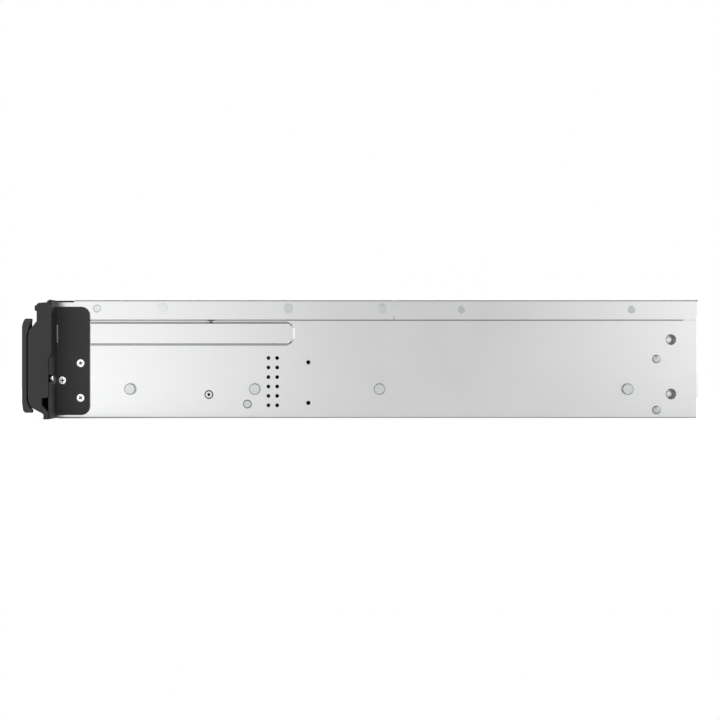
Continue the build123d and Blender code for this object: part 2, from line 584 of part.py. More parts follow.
# shouldered studs that hang in the keyholes of the rails
with BuildPart() as rail_studs:
    for s in (-1, 1):
        for yv in STUD_Y:
            rod_x(s * 215.02, s * 217.2, yv, STUD_Z, 2.6)
            rod_x(s * 217.2, s * 218.8, yv, STUD_Z, 4.1)
keep(rail_studs, "rail_studs")

with BuildPart() as wall_rivets:
    for s in (-1, 1):
        # clinched discs, flush in the flange of the front cover
        for yv in (78.1, 171.9, 241.8):
            rod_x(s * 213.85, s * 215.03, yv, 81.7, 3.7)
        # low rivet and hollow insert
        rod_x(s * 215.02, s * 215.6, 141.4, 10.6, 3.15)
        rod_x(s * 215.02, s * 215.6, 112.7, 17.7, 3.15)
        rod_x(s * 214.5, s * 216.0, 112.7, 17.7, 1.1, mode=Mode.SUBTRACT)
        # round-headed rivets near the rear
        for zv in (44.1, 6.2):
            rod_x(s * 215.02, s * 216.7, 445.7, zv, 3.1)
        # screws of the rear returns, seen through the two access holes
        for zv in (58.6, 18.1):
            rod_x(s * 204.24, s * 205.4, 456.5, zv, 2.3)
keep(wall_rivets, "wall_rivets")

# flat cable: ear housing, wall channel, then across to the mainboard
with BuildPart() as front_panel_cable:
    block(214.0, 226.0, -3.1, -2.5, 56.3, 69.9)
    block(214.0, 214.6, -3.1, 173.4, 56.3, 69.9)
    block(206.6, 214.6, 172.8, 173.4, 56.3, 69.9)
    block(206.0, 206.6, 172.8, 258.6, 56.3, 69.9)
    block(150.0, 206.6, 258.0, 258.6, 56.3, 69.9)
    block(150.0, 161.0, 258.0, 258.6, 9.6, 69.9)
    block(150.0, 161.0, 258.0, 266.0, 9.0, 9.6)
keep(front_panel_cable, "front_panel_cable")

# --------------------------------------------------------------------- write
os.makedirs("parts", exist_ok=True)
for piece in pieces:
    export_step(piece.part, "parts/%s.step" % piece.part.label)
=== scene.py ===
import json
import math
import random

import bmesh
import bpy
from mathutils import Matrix, Vector

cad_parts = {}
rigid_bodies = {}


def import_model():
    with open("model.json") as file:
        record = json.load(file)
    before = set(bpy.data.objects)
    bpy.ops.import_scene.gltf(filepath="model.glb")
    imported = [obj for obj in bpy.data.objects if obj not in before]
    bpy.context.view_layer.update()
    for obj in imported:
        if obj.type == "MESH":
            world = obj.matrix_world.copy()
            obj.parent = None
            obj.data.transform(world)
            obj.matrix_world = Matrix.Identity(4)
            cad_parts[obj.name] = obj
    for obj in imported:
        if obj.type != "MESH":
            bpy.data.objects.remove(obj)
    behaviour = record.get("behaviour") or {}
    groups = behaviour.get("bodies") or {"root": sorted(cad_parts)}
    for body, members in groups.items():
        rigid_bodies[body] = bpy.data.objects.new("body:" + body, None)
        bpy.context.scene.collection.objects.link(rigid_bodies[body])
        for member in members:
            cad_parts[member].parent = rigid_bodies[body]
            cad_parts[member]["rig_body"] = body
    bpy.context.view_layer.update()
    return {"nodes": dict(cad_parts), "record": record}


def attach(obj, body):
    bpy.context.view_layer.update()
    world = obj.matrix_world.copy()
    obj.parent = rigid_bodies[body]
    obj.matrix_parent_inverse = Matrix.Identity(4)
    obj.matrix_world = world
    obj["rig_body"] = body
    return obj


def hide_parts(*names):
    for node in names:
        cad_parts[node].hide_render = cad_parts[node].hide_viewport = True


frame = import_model()
NODES = frame["nodes"]
YM = 232.05                      # rack face to the middle of the box, mm


def P(x, yf, z):
    return Vector((x * 0.001, (yf - YM) * 0.001, z * 0.001))


# ------------------------------------------------------------------ materials
def material(name, color, metallic=0.0, rough=0.5, spec=0.5, var=0.06, var_scale=40.0,
             rough_var=0.08, bump=0.05, bump_scale=900.0, stretch=(1, 1, 1), edge=0.00035,
             coat=0.0, detail=4.0, bump_dist=0.0001, speck=0.0, alpha_color=None):
    m = bpy.data.materials.new(name)
    m.use_nodes = True
    nt = m.node_tree
    nt.nodes.clear()
    out = nt.nodes.new("ShaderNodeOutputMaterial")
    b = nt.nodes.new("ShaderNodeBsdfPrincipled")
    nt.links.new(b.outputs[0], out.inputs[0])
    b.inputs["Metallic"].default_value = metallic
    b.inputs["Specular IOR Level"].default_value = spec
    b.inputs["Coat Weight"].default_value = coat
    b.inputs["Coat Roughness"].default_value = 0.15
    tc = nt.nodes.new("ShaderNodeTexCoord")
    mp = nt.nodes.new("ShaderNodeMapping")
    mp.inputs["Scale"].default_value = stretch
    nt.links.new(tc.outputs["Object"], mp.inputs["Vector"])
    # broad tone variation
    n1 = nt.nodes.new("ShaderNodeTexNoise")
    n1.inputs["Scale"].default_value = var_scale
    n1.inputs["Detail"].default_value = detail
    n1.inputs["Roughness"].default_value = 0.55
    nt.links.new(mp.outputs[0], n1.inputs["Vector"])
    ramp = nt.nodes.new("ShaderNodeValToRGB")
    ramp.color_ramp.elements[0].position = 0.25
    ramp.color_ramp.elements[1].position = 0.78
    lo = [max(0.0, c * (1 - var)) for c in color]
    hi = [min(1.0, c * (1 + var)) for c in color]
    ramp.color_ramp.elements[0].color = (*lo, 1)
    ramp.color_ramp.elements[1].color = (*hi, 1)
    nt.links.new(n1.outputs["Fac"], ramp.inputs["Fac"])
    col = ramp.outputs["Color"]
    # fine grain
    n2 = nt.nodes.new("ShaderNodeTexNoise")
    n2.inputs["Scale"].default_value = bump_scale
    n2.inputs["Detail"].default_value = 3.0
    nt.links.new(mp.outputs[0], n2.inputs["Vector"])
    if speck > 0:
        mix = nt.nodes.new("ShaderNodeMix")
        mix.data_type = "RGBA"
        mix.blend_type = "MULTIPLY"
        mix.inputs["Factor"].default_value = speck
        nt.links.new(col, mix.inputs["A"])
        nt.links.new(n2.outputs["Fac"], mix.inputs["B"])
        col = mix.outputs["Result"]
    nt.links.new(col, b.inputs["Base Color"])
    mr = nt.nodes.new("ShaderNodeMapRange")
    mr.inputs["From Min"].default_value = 0.3
    mr.inputs["From Max"].default_value = 0.7
    mr.inputs["To Min"].default_value = max(0.02, rough - rough_var)
    mr.inputs["To Max"].default_value = min(1.0, rough + rough_var)
    nt.links.new(n1.outputs["Fac"], mr.inputs["Value"])
    nt.links.new(mr.outputs[0], b.inputs["Roughness"])
    bp = nt.nodes.new("ShaderNodeBump")
    bp.inputs["Strength"].default_value = bump
    bp.inputs["Distance"].default_value = bump_dist
    nt.links.new(n2.outputs["Fac"], bp.inputs["Height"])
    if edge > 0:
        bv = nt.nodes.new("ShaderNodeBevel")
        bv.samples = 4
        bv.inputs["Radius"].default_value = edge
        nt.links.new(bv.outputs[0], bp.inputs["Normal"])
    nt.links.new(bp.outputs[0], b.inputs["Normal"])
    return m


M = {}
M["zinc"] = material("zinc_sheet", (0.83, 0.84, 0.835), 1.0, 0.23, var=0.012, var_scale=18.0, rough_var=0.012,
                     bump=0.10, bump_scale=1500.0, edge=0.0002, bump_dist=0.00005)
M["zinc_in"] = material("zinc_inner_sheet", (0.70, 0.71, 0.71), 1.0, 0.42, var=0.05, var_scale=30.0, edge=0.0)
M["stud"] = material("stud_zinc", (0.72, 0.755, 0.73), 1.0, 0.30, var=0.06, var_scale=300.0, edge=0.0003)
M["rivet"] = material("rivet_steel", (0.70, 0.735, 0.715), 1.0, 0.30, var=0.06, var_scale=260.0, edge=0.00025)
M["screw"] = material("screw_nickel", (0.80, 0.80, 0.78), 1.0, 0.22, var=0.05, var_scale=400.0, edge=0.00025)
M["coat"] = material("black_powder_coat", (0.022, 0.022, 0.024), 0.0, 0.52, spec=0.45, var=0.12, var_scale=60.0,
                     bump=0.35, bump_scale=1700.0, bump_dist=0.00008, edge=0.00035)
M["mould"] = material("black_textured_moulding", (0.020, 0.020, 0.022), 0.0, 0.56, spec=0.42, var=0.10, var_scale=45.0,
                      bump=0.30, bump_scale=2300.0, bump_dist=0.00006, edge=0.0004)
M["grip"] = material("black_satin_moulding", (0.018, 0.018, 0.020), 0.0, 0.42, spec=0.45, var=0.10, var_scale=50.0,
                     bump=0.22, bump_scale=2600.0, bump_dist=0.00005, edge=0.0006)
M["tray"] = material("tray_moulding", (0.030, 0.030, 0.033), 0.0, 0.5, spec=0.45, var=0.12, var_scale=60.0,
                     bump=0.3, bump_scale=2200.0, bump_dist=0.00006, edge=0.0003)
M["lever"] = material("lever_moulding", (0.045, 0.046, 0.050), 0.0, 0.36, spec=0.5, var=0.08, var_scale=55.0,
                      bump=0.15, bump_scale=2600.0, bump_dist=0.00004, edge=0.0004)
M["fan"] = material("fan_moulding", (0.016, 0.016, 0.017), 0.0, 0.45, spec=0.5, var=0.10, var_scale=80.0, edge=0.0002)
M["pcb"] = material("board_resist", (0.012, 0.085, 0.045), 0.0, 0.32, spec=0.5, var=0.22, var_scale=180.0, edge=0.0, coat=0.3)
M["conn"] = material("connector_moulding", (0.02, 0.02, 0.02), 0.0, 0.45, var=0.1, edge=0.0002)
M["port"] = material("port_shell", (0.76, 0.77, 0.78), 1.0, 0.28, var=0.05, var_scale=150.0, edge=0.0002)
M["heatsink"] = material("fin_aluminium", (0.85, 0.86, 0.87), 1.0, 0.33, var=0.04, var_scale=120.0, stretch=(1, 0.1, 1), edge=0.0002)
M["bail"] = material("bail_moulding", (0.022, 0.022, 0.023), 0.0, 0.46, var=0.1, bump=0.2, bump_scale=1800.0, edge=0.0004)
M["latch"] = material("latch_green", (0.02, 0.26, 0.10), 0.0, 0.38, var=0.08, var_scale=120.0, bump=0.1, bump_scale=1500.0, edge=0.0003)
M["button"] = material("button_moulding", (0.035, 0.035, 0.038), 0.0, 0.3, var=0.08, var_scale=200.0, edge=0.0004)
M["lens"] = material("light_pipe", (0.62, 0.70, 0.66), 0.0, 0.2, var=0.05, var_scale=500.0, edge=0.0002, coat=0.3)
M["cable"] = material("flat_cable", (0.80, 0.80, 0.79), 0.0, 0.45, var=0.06, var_scale=200.0, stretch=(1, 1, 6), edge=0.0)
M["gold"] = material("contact_gold", (0.88, 0.66, 0.28), 1.0, 0.3, var=0.06, var_scale=400.0, edge=0.0)

SLOT_MAT = {
    "zinc_sheet": "zinc", "zinc_hardware": "rivet", "black_coated_steel": "coat", "black_moulding": "mould",
    "lever_plastic": "lever", "fan_plastic": "fan", "circuit_board": "pcb", "connector_plastic": "conn",
    "port_shell": "port", "heatsink_metal": "heatsink", "handle_plastic": "bail", "latch_plastic": "latch",
    "button_plastic": "button", "lens_plastic": "lens", "cable_jacket": "cable",
}
for sub in frame["record"]["subparts"]:
    o = NODES[sub["node"]]
    m = M[SLOT_MAT[sub["material_slot"]]]
    if not o.data.materials:
        o.data.materials.append(m)
    for i in range(len(o.data.materials)):
        o.data.materials[i] = m


def dress(node, key):
    o = NODES[node]
    for i in range(len(o.data.materials)):
        o.data.materials[i] = M[key]


for k in range(1, 9):
    dress("tray_%d" % k, "tray")
for side in ("right", "left"):
    dress(side + "_grip", "grip")
    dress(side + "_rack_screw", "screw")
dress("flat_head_screws", "screw")
dress("cover_thumbscrews", "screw")

def shaded(node, key, new, boxes):
    """A copy of a material with painted shade inside some boxes, where the base colour and the specular level are
    darker: (x0, x1, yf0, yf1, z0, z1, factor), mm, both sides.
    """
    m = M[key].copy()
    m.name = new
    nt = m.node_tree
    b = nt.nodes["Principled BSDF"]
    col = b.inputs["Base Color"].links[0].from_socket
    tc = nt.nodes.new("ShaderNodeTexCoord")
    sep = nt.nodes.new("ShaderNodeSeparateXYZ")
    nt.links.new(tc.outputs["Object"], sep.inputs[0])
    ax = nt.nodes.new("ShaderNodeMath")
    ax.operation = "ABSOLUTE"
    nt.links.new(sep.outputs["X"], ax.inputs[0])
    for x0, x1, y0, y1, z0, z1, f in boxes:
        fac = None
        for sock, lo, hi in ((ax.outputs[0], x0 * 0.001, x1 * 0.001), (sep.outputs["Y"], (y0 - YM) * 0.001, (y1 - YM) * 0.001),
                             (sep.outputs["Z"], z0 * 0.001, z1 * 0.001)):
            n = nt.nodes.new("ShaderNodeMath")
            n.operation = "COMPARE"
            nt.links.new(sock, n.inputs[0])
            n.inputs[1].default_value = (lo + hi) / 2
            n.inputs[2].default_value = (hi - lo) / 2
            if fac is None:
                fac = n.outputs[0]
            else:
                t = nt.nodes.new("ShaderNodeMath")
                t.operation = "MULTIPLY"
                nt.links.new(fac, t.inputs[0])
                nt.links.new(n.outputs[0], t.inputs[1])
                fac = t.outputs[0]
        mix = nt.nodes.new("ShaderNodeMix")
        mix.data_type = "RGBA"
        mix.blend_type = "MULTIPLY"
        nt.links.new(fac, mix.inputs["Factor"])
        nt.links.new(col, mix.inputs["A"])
        mix.inputs["B"].default_value = (f, f, f, 1)
        col = mix.outputs["Result"]
        # the same painted shade for the specular level
        n = nt.nodes.new("ShaderNodeMapRange")
        nt.links.new(fac, n.inputs["Value"])
        n.inputs["To Min"].default_value = b.inputs["Specular IOR Level"].default_value
        n.inputs["To Max"].default_value = b.inputs["Specular IOR Level"].default_value * f
        nt.links.new(n.outputs[0], b.inputs["Specular IOR Level"])
    nt.links.new(col, b.inputs["Base Color"])
    M[new] = m
    dress(node, new)


# painted shade: the base colour and specular level are darkened in the joint under the covers' flanges, at the seam
# between the covers, along the slopes and edges of the embossed channel and round the notch in the flange
shaded("chassis_base", "zinc", "zinc_base_painted_shade", [(200, 214.2, -5, 466, 72.4, 76.0, 0.42), (200, 214.2, 247, 254, 76.0, 86.9, 0.90), (215.02, 216.45, 17, 177.5, 54.2, 57.6, 0.30), (214.9, 215.02, 17, 171.5, 54.05, 54.7, 0.40), (214.9, 215.02, 17, 171.5, 71.5, 72.1, 0.55),
                                           (215.02, 216.45, 17, 177.5, 68.6, 71.9, 0.42), (211.0, 216.4, 111.6, 116.8, 72.5, 73.4, 0.30),
                                           (211.0, 216.4, 113.1, 115.3, 71.5, 72.5, 0.30), (211.0, 216.4, 112.3, 116.1, 70.8, 71.5, 0.35)])

# painted shade: the bracket's black coat is darker, with less specular, on the flange's outer edge and rear face beside
# the ear housing, where the gap behind the housing lies in shadow
for side in ("right", "left"):
    shaded(side + "_ear_bracket", "coat", side + "_ear_coat_painted_shade", [(228.0, 240.5, -3.0, 0.6, 46.0, 88.0, 0.12), (217.3, 228.0, -0.4, 0.4, 0.0, 88.0, 0.5)])
dress("slot_covers", "zinc")

# ------------------------------------------------------------------- studio
def plane(name, size, location, mat):
    me = bpy.data.meshes.new(name)
    h = size / 2
    me.from_pydata([(-h, -h, 0), (h, -h, 0), (h, h, 0), (-h, h, 0)], [], [(0, 1, 2, 3)])
    o = bpy.data.objects.new(name, me)
    o.location = location
    bpy.context.scene.collection.objects.link(o)
    me.materials.append(mat)
    return o


floor_mat = material("studio_floor", (0.80, 0.80, 0.80), 0.0, 0.75, spec=0.2, var=0.01, var_scale=3.0, bump=0.02, bump_scale=60.0, edge=0.0)
ft = floor_mat.node_tree
pb = ft.nodes["Principled BSDF"]
glow = ft.nodes.new("ShaderNodeEmission")
glow.inputs["Strength"].default_value = 0.72
both = ft.nodes.new("ShaderNodeAddShader")
pick = ft.nodes.new("ShaderNodeMixShader")
seen = ft.nodes.new("ShaderNodeLightPath")
ft.links.new(pb.outputs[0], both.inputs[0])
ft.links.new(glow.outputs[0], both.inputs[1])
ft.links.new(seen.outputs["Is Camera Ray"], pick.inputs[0])
low = ft.nodes.new("ShaderNodeEmission")
geo = ft.nodes.new("ShaderNodeNewGeometry")
gsep = ft.nodes.new("ShaderNodeSeparateXYZ")
ft.links.new(geo.outputs["Position"], gsep.inputs[0])
fy = ft.nodes.new("ShaderNodeMapRange")
fy.interpolation_type = "SMOOTHSTEP"
for k_, v_ in (("From Min", 0.02), ("From Max", -0.42), ("To Min", 0.16), ("To Max", 0.92)):
    fy.inputs[k_].default_value = v_
ft.links.new(gsep.outputs["Y"], fy.inputs["Value"])
fx = ft.nodes.new("ShaderNodeMapRange")
for k_, v_ in (("From Min", 0.218), ("From Max", 0.235)):
    fx.inputs[k_].default_value = v_
ft.links.new(gsep.outputs["X"], fx.inputs["Value"])
fm = ft.nodes.new("ShaderNodeMath")
fm.operation = "MULTIPLY"
ft.links.new(fy.outputs[0], fm.inputs[0])
ft.links.new(fx.outputs[0], fm.inputs[1])
ft.links.new(fm.outputs[0], low.inputs["Strength"])
back = ft.nodes.new("ShaderNodeAddShader")
ft.links.new(pb.outputs[0], back.inputs[0])
ft.links.new(low.outputs[0], back.inputs[1])
ft.links.new(back.outputs[0], pick.inputs[1])
ft.links.new(both.outputs[0], pick.inputs[2])
ft.links.new(pick.outputs[0], ft.nodes["Material Output"].inputs[0])
plane("studio_floor", 2.4, (0, 0, 0), floor_mat)

world = bpy.data.worlds.new("studio_world")
bpy.context.scene.world = world
world.use_nodes = True
wt = world.node_tree
wt.nodes.clear()
wo = wt.nodes.new("ShaderNodeOutputWorld")
bg_cam = wt.nodes.new("ShaderNodeBackground")
bg_cam.inputs["Color"].default_value = (1, 1, 1, 1)
bg_cam.inputs["Strength"].default_value = 1.0
bg_lit = wt.nodes.new("ShaderNodeBackground")
lp = wt.nodes.new("ShaderNodeLightPath")
mixw = wt.nodes.new("ShaderNodeMixShader")
wt.links.new(lp.outputs["Is Camera Ray"], mixw.inputs[0])
wt.links.new(bg_lit.outputs[0], mixw.inputs[1])
wt.links.new(bg_cam.outputs[0], mixw.inputs[2])
wt.links.new(mixw.outputs[0], wo.inputs[0])
wtc = wt.nodes.new("ShaderNodeTexCoord")
wsep = wt.nodes.new("ShaderNodeSeparateXYZ")
wt.links.new(wtc.outputs["Generated"], wsep.inputs[0])


def wmath(op, a, b=None):
    n = wt.nodes.new("ShaderNodeMath")
    n.operation = op
    for i, v in enumerate((a, b)):
        if v is None:
            continue
        if isinstance(v, (int, float)):
            n.inputs[i].default_value = v
        else:
            wt.links.new(v, n.inputs[i])
    return n.outputs[0]


# A band of light around the horizon, dim overhead. It is dimmer straight across
# from the side wall and bright either side of that.
DIM, DIM_Y, DIM_W, BAND, TOP = 0.72, 0.051, 0.16, 1.33, 0.44
u = wmath("DIVIDE", wmath("SUBTRACT", wsep.outputs["Y"], DIM_Y), DIM_W)
dip = wmath("EXPONENT", wmath("MULTIPLY", wmath("MULTIPLY", u, u), -1.0))
near_x = wmath("GREATER_THAN", wsep.outputs["X"], 0.0)
dip = wmath("MULTIPLY", dip, near_x)
w = wmath("DIVIDE", wsep.outputs["Z"], 0.27)
band = wmath("ADD", wmath("MULTIPLY", wmath("EXPONENT", wmath("MULTIPLY", wmath("MULTIPLY", w, w), -1.0)), BAND), TOP)
lev = wmath("MULTIPLY", band, wmath("SUBTRACT", 1.0, wmath("MULTIPLY", dip, DIM)))
# softer on the far side, so that the covers keep their tone from the front and the back
far = wt.nodes.new("ShaderNodeMapRange")
far.inputs["From Min"].default_value = -0.30
far.inputs["From Max"].default_value = 0.12
far.inputs["To Min"].default_value = 0.52
far.inputs["To Max"].default_value = 1.0
wt.links.new(wsep.outputs["X"], far.inputs["Value"])
lev = wmath("MULTIPLY", lev, far.outputs[0])
fro = wt.nodes.new("ShaderNodeMapRange")
fro.inputs["From Min"].default_value = -0.22
fro.inputs["From Max"].default_value = -0.02
fro.inputs["To Min"].default_value = 0.72
fro.inputs["To Max"].default_value = 1.0
wt.links.new(wsep.outputs["Y"], fro.inputs["Value"])
lev = wmath("MULTIPLY", lev, fro.outputs[0])
grey = wt.nodes.new("ShaderNodeCombineColor")
for i in range(3):
    wt.links.new(lev, grey.inputs[i])
wt.links.new(grey.outputs[0], bg_lit.inputs["Color"])
bg_lit.inputs["Strength"].default_value = 1.0


def area(name, loc, target, size, energy, size_y=None):
    li = bpy.data.lights.new(name, "AREA")
    li.energy = energy
    li.shape = "RECTANGLE"
    li.size = size
    li.size_y = size_y or size
    o = bpy.data.objects.new(name, li)
    o.location = loc
    o.rotation_euler = (Vector(target) - Vector(loc)).to_track_quat("-Z", "Y").to_euler()
    bpy.context.scene.collection.objects.link(o)
    return o


area("softbox_front", (0.5, -2.3, 1.7), (0.1, -0.2, 0.0), 1.8, 26.0)
area("softbox_rear", (0.5, 2.3, 1.7), (0.1, 0.2, 0.0), 1.8, 26.0)
area("softbox_back", (-2.4, 0.0, 1.6), (0.0, 0.0, 0.0), 1.6, 16.0)

# ------------------------------------------------------------------- camera
cam_data = bpy.data.cameras.new("camera")
cam_data.sensor_fit = "HORIZONTAL"
cam_data.sensor_width = 36.0
cam_data.lens = 86.69
cam_data.clip_start = 0.01
cam_data.clip_end = 100.0
cam = bpy.data.objects.new("camera", cam_data)
cam.location = (1.505, (225.14 - YM) * 0.001, 0.0434)
cam.rotation_euler = (math.radians(90), 0, math.radians(90))
bpy.context.scene.collection.objects.link(cam)
bpy.context.scene.camera = cam
bpy.context.scene.view_settings.view_transform = "Standard"
bpy.context.scene.view_settings.look = "None"

# ------------------------------------------------------------ mesh helpers
COL = bpy.context.scene.collection


def add(name, mesh, mat, body, replaces=()):
    if isinstance(mesh, bmesh.types.BMesh):
        bmesh.ops.recalc_face_normals(mesh, faces=mesh.faces)
        me = bpy.data.meshes.new(name)
        mesh.to_mesh(me)
        mesh.free()
    else:
        me = mesh
        me.name = name
    o = bpy.data.objects.new(name, me)
    COL.objects.link(o)
    if not me.materials:
        me.materials.append(M[mat])
    else:
        me.materials[0] = M[mat]
    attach(o, body)
    if replaces:
        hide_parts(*replaces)
    return o


def bevel(o, width, segments=2, angle=32.0):
    m = o.modifiers.new("edge", "BEVEL")
    m.width = width * 0.001
    m.segments = segments
    m.limit_method = "ANGLE"
    m.angle_limit = math.radians(angle)
    m.use_clamp_overlap = True
    m.miter_outer = "MITER_ARC"
    m.harden_normals = False
    return o


def shade(o, angle=35.0):
    me = o.data
    me.polygons.foreach_set("use_smooth", [True] * len(me.polygons))
    if hasattr(me, "set_sharp_from_angle"):
        me.set_sharp_from_angle(angle=math.radians(angle))
    return o


def round_poly(pts, r, seg=5):
    """The polygon with each corner rounded by its radius (one number, or one for each corner)."""
    n = len(pts)
    rs = r if isinstance(r, (list, tuple)) else [r] * n
    out = []
    for i in range(n):
        p = Vector((*pts[i], 0))
        a = Vector((*pts[i - 1], 0)) - p
        b = Vector((*pts[(i + 1) % n], 0)) - p
        la, lb = a.length, b.length
        rr = rs[i]
        if rr <= 0:
            out.append((p.x, p.y))
            continue
        a.normalize()
        b.normalize()
        ang = a.angle(b)
        if ang > math.radians(179):
            out.append((p.x, p.y))
            continue
        t = min(rr / math.tan(ang / 2), 0.48 * la, 0.48 * lb)
        rr = t * math.tan(ang / 2)
        c = p + (a + b).normalized() * (rr / math.sin(ang / 2))
        s = p + a * t - c
        e = p + b * t - c
        turn = s.angle(e)
        sign = 1 if s.cross(e).z > 0 else -1
        for k in range(seg + 1):
            q = Matrix.Rotation(sign * turn * k / seg, 3, "Z") @ s
            out.append((c.x + q.x, c.y + q.y))
    return out


def to3(axis, a, b, h):
    if axis == "x":
        return P(h, a, b)
    if axis == "y":
        return P(a, h, b)
    return P(a, b, h)


def prism(pts, axis, lo, hi, bm=None):
    bm = bm or bmesh.new()
    low = [bm.verts.new(to3(axis, a, b, lo)) for a, b in pts]
    top = [bm.verts.new(to3(axis, a, b, hi)) for a, b in pts]
    n = len(pts)
    bm.faces.new(low)
    bm.faces.new(top[::-1])
    for i in range(n):
        bm.faces.new((low[i], top[i], top[(i + 1) % n], low[(i + 1) % n]))
    return bm


def rect(a0, a1, b0, b1, r=0.0, seg=4):
    pts = [(a0, b0), (a1, b0), (a1, b1), (a0, b1)]
    return round_poly(pts, r, seg) if r else pts


def circle(a, b, r, n=32, start=0.0):
    return [(a + r * math.cos(start + 2 * math.pi * k / n), b + r * math.sin(start + 2 * math.pi * k / n)) for k in range(n)]


def lathe(profile, axis, ca, cb, n=40, bm=None):
    """profile is (radius, height) along the axis, closed at both ends where the radius is 0."""
    bm = bm or bmesh.new()
    rings = []
    for r, h in profile:
        if r < 1e-6:
            rings.append([bm.verts.new(to3(axis, ca, cb, h))])
        else:
            rings.append([bm.verts.new(to3(axis, a, b, h)) for a, b in circle(ca, cb, r, n)])
    for p, q in zip(rings, rings[1:]):
        for k in range(n):
            k2 = (k + 1) % n
            if len(p) == 1 and len(q) == 1:
                continue
            if len(p) == 1:
                bm.faces.new((p[0], q[k], q[k2]))
            elif len(q) == 1:
                bm.faces.new((p[k], p[k2], q[0]))
            else:
                bm.faces.new((p[k], p[k2], q[k2], q[k]))
    return bm


def hexsheet(axis, a0, a1, b0, b1, lo, hi, pitch, hole, sides=6, bm=None):
    """A sheet of hexagonal cells, each with a hole, that fills the rectangle with whole cells."""
    bm = bm or bmesh.new()
    big = pitch / math.sqrt(3)
    row = pitch * math.sqrt(3) / 2
    store = {}
    faces = []

    def vert(a, b):
        key = (round(a, 3), round(b, 3))
        if key not in store:
            store[key] = bm.verts.new(to3(axis, a, b, lo))
        return store[key]

    rows = int((b1 - b0 - 2 * big) / row) + 1
    cols = int((a1 - a0 - pitch) / pitch) + 1
    oa = (a0 + a1) / 2 - (cols - 1) * pitch / 2
    ob = (b0 + b1) / 2 - (rows - 1) * row / 2
    for j in range(rows):
        shift = pitch / 2 if j % 2 else 0.0
        for i in range(cols - (1 if j % 2 else 0)):
            ca, cb = oa + i * pitch + shift, ob + j * row
            outer, inner = [], []
            for k in range(6):
                t = math.radians(30 + 60 * k)
                t2 = math.radians(90 + 60 * k)
                c1 = (ca + big * math.cos(t), cb + big * math.sin(t))
                c2 = (ca + big * math.cos(t2), cb + big * math.sin(t2))
                outer.append(c1)
                if sides == 12:
                    outer.append(((c1[0] + c2[0]) / 2, (c1[1] + c2[1]) / 2))
            for k in range(sides):
                t = math.radians(30 + 360 / sides * k)
                inner.append((ca + hole * math.cos(t), cb + hole * math.sin(t)))
            ov = [vert(*p) for p in outer]
            iv = [bm.verts.new(to3(axis, a, b, lo)) for a, b in inner]
            for k in range(sides):
                k2 = (k + 1) % sides
                faces.append(bm.faces.new((ov[k], ov[k2], iv[k2], iv[k])))
    res = bmesh.ops.extrude_face_region(bm, geom=faces)
    d = to3(axis, 0, 0, hi) - to3(axis, 0, 0, lo)
    bmesh.ops.translate(bm, vec=d, verts=[v for v in res["geom"] if isinstance(v, bmesh.types.BMVert)])
    return bm


def cut(o, *cutters):
    """Cuts the cutters (bmeshes) out of the object's mesh."""
    for bm in cutters:
        bmesh.ops.recalc_face_normals(bm, faces=bm.faces)
        me = bpy.data.meshes.new("cutter")
        bm.to_mesh(me)
        bm.free()
        c = bpy.data.objects.new("cutter", me)
        COL.objects.link(c)
        mod = o.modifiers.new("cut", "BOOLEAN")
        mod.operation = "DIFFERENCE"
        mod.solver = "EXACT"
        mod.object = c
        dg = bpy.context.evaluated_depsgraph_get()
        new = bpy.data.meshes.new_from_object(o.evaluated_get(dg))
        o.modifiers.remove(mod)
        old = o.data
        o.data = new
        bpy.data.meshes.remove(old)
        bpy.data.objects.remove(c)
        bpy.data.meshes.remove(me)
    return o


def bevelled(node, width=0.25, segments=2, mat=None, angle=35.0, smooth=35.0):
    """A new piece with the node's shape and real rounded edges, which stands for the node."""
    src = NODES[node]
    bm = bmesh.new()
    bm.from_mesh(src.data)
    bmesh.ops.remove_doubles(bm, verts=bm.verts, dist=2e-6)
    bmesh.ops.dissolve_limit(bm, angle_limit=math.radians(1.5), verts=bm.verts, edges=bm.edges)
    key = mat or src.data.materials[0].name
    me = bpy.data.meshes.new(node + "_piece")
    bm.to_mesh(me)
    bm.free()
    if mat:
        me.materials.append(M[mat])
    else:
        me.materials.append(src.data.materials[0])
    o = bpy.data.objects.new(node + "_piece", me)
    COL.objects.link(o)
    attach(o, src["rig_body"])
    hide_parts(node)
    bevel(o, width, segments, angle)
    shade(o, smooth)
    return o


# ------------------------------------------------------- more mesh helpers
def join_parts(name, parts, body, replaces=()):
    """One piece of several bmeshes, each with its own material: [(bmesh, material key), ...]."""
    keys = []
    whole = bmesh.new()
    for bm, key in parts:
        if key not in keys:
            keys.append(key)
        idx = keys.index(key)
        bmesh.ops.recalc_face_normals(bm, faces=bm.faces)
        for f in bm.faces:
            f.material_index = idx
        me = bpy.data.meshes.new("part")
        bm.to_mesh(me)
        bm.free()
        whole.from_mesh(me)
        bpy.data.meshes.remove(me)
    me = bpy.data.meshes.new(name)
    whole.to_mesh(me)
    whole.free()
    for key in keys:
        me.materials.append(M[key])
    o = bpy.data.objects.new(name, me)
    COL.objects.link(o)
    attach(o, body)
    if replaces:
        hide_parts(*replaces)
    return o


def cross(ca, cb, size, arm, turn=0.0):
    pts = [(arm, arm), (arm, size), (-arm, size), (-arm, arm), (-size, arm), (-size, -arm),
           (-arm, -arm), (-arm, -size), (arm, -size), (arm, -arm), (size, -arm), (size, arm)]
    c, s = math.cos(turn), math.sin(turn)
    return [(ca + a * c - b * s, cb + a * s + b * c) for a, b in pts]


def obj_of(bm, name="tmp"):
    bmesh.ops.recalc_face_normals(bm, faces=bm.faces)
    me = bpy.data.meshes.new(name)
    bm.to_mesh(me)
    bm.free()
    o = bpy.data.objects.new(name, me)
    COL.objects.link(o)
    return o


def bm_of(o):
    """The object's mesh as a bmesh; the object goes."""
    bm = bmesh.new()
    bm.from_mesh(o.data)
    me = o.data
    bpy.data.objects.remove(o)
    bpy.data.meshes.remove(me)
    return bm


def weigh(o):
    m = o.modifiers.new("normals", "WEIGHTED_NORMAL")
    m.keep_sharp = True
    m.weight = 80
    return o


